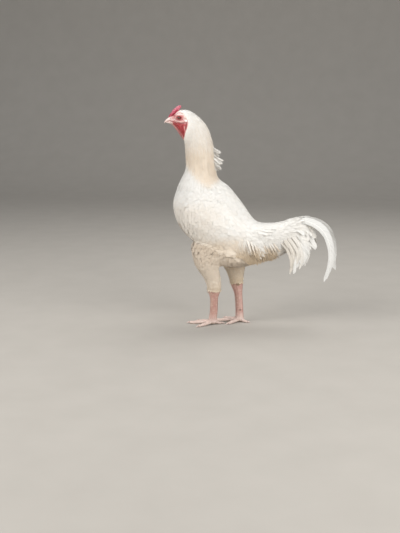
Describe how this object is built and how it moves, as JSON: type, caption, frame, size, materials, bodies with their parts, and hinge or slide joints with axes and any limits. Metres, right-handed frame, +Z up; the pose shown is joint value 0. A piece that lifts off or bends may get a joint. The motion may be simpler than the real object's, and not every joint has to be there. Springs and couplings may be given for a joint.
{
  "type": "rooster",
  "caption": "Tall white game rooster standing upright on both feet, life-size still figure with bare red face and low curved tail, for display on a floor or plinth.",
  "frame": {"origin": "on the floor under the middle of the bird, the bottom centre of its bounding box", "axes": "the bird faces -X, its left side is -Y, +Z is up"},
  "size_m": [0.5122, 0.1704, 0.6482],
  "materials": {
    "plumage": "matte white feathers with a cream tint on the neck",
    "tail_feathers": "satin white flight feathers",
    "bare_skin": "soft red skin with small bumps",
    "ear_lobe": "smooth pale pink skin",
    "shank_skin": "pink scaly leg skin, slightly glossy",
    "horn": "smooth ivory horn",
    "spur_horn": "dull brown horn",
    "eye": "wet gloss, red-brown iris and black pupil"
  },
  "bodies": {
    "root": {"beak_lower": "horn", "beak_upper": "horn", "claw_left_hind": "horn", "claw_left_inner": "horn", "claw_left_middle": "horn", "claw_left_outer": "horn", "claw_right_hind": "horn", "claw_right_inner": "horn", "claw_right_middle": "horn", "claw_right_outer": "horn", "comb": "bare_skin", "covert_left_1": "tail_feathers", "covert_left_2": "tail_feathers", "covert_right_1": "tail_feathers", "covert_right_2": "tail_feathers", "dewlap": "bare_skin", "ear_lobe_left": "ear_lobe", "ear_lobe_right": "ear_lobe", "eye_left": "eye", "eye_right": "eye", "flank_left": "plumage", "foot_left": "shank_skin", "foot_right": "shank_skin", "head": "plumage", "neck_lower": "plumage", "neck_upper": "plumage", "ruff_lower": "plumage", "ruff_middle": "plumage", "ruff_upper": "plumage", "saddle": "plumage", "shank_left": "shank_skin", "shank_right": "shank_skin", "sickle_left": "tail_feathers", "sickle_right": "tail_feathers", "spur_left": "spur_horn", "spur_right": "spur_horn", "tail_root": "plumage", "tail_vane_left_1": "tail_feathers", "tail_vane_left_2": "tail_feathers", "tail_vane_right_1": "tail_feathers", "tail_vane_right_2": "tail_feathers", "thigh_left": "plumage", "thigh_right": "plumage", "toe_left_hind": "shank_skin", "toe_left_inner": "shank_skin", "toe_left_middle": "shank_skin", "toe_left_outer": "shank_skin", "toe_right_hind": "shank_skin", "toe_right_inner": "shank_skin", "toe_right_middle": "shank_skin", "toe_right_outer": "shank_skin", "trunk": "plumage", "wattle_left": "bare_skin", "wattle_right": "bare_skin", "wing_left": "plumage", "wing_right": "plumage"}
  },
  "joints": []
}
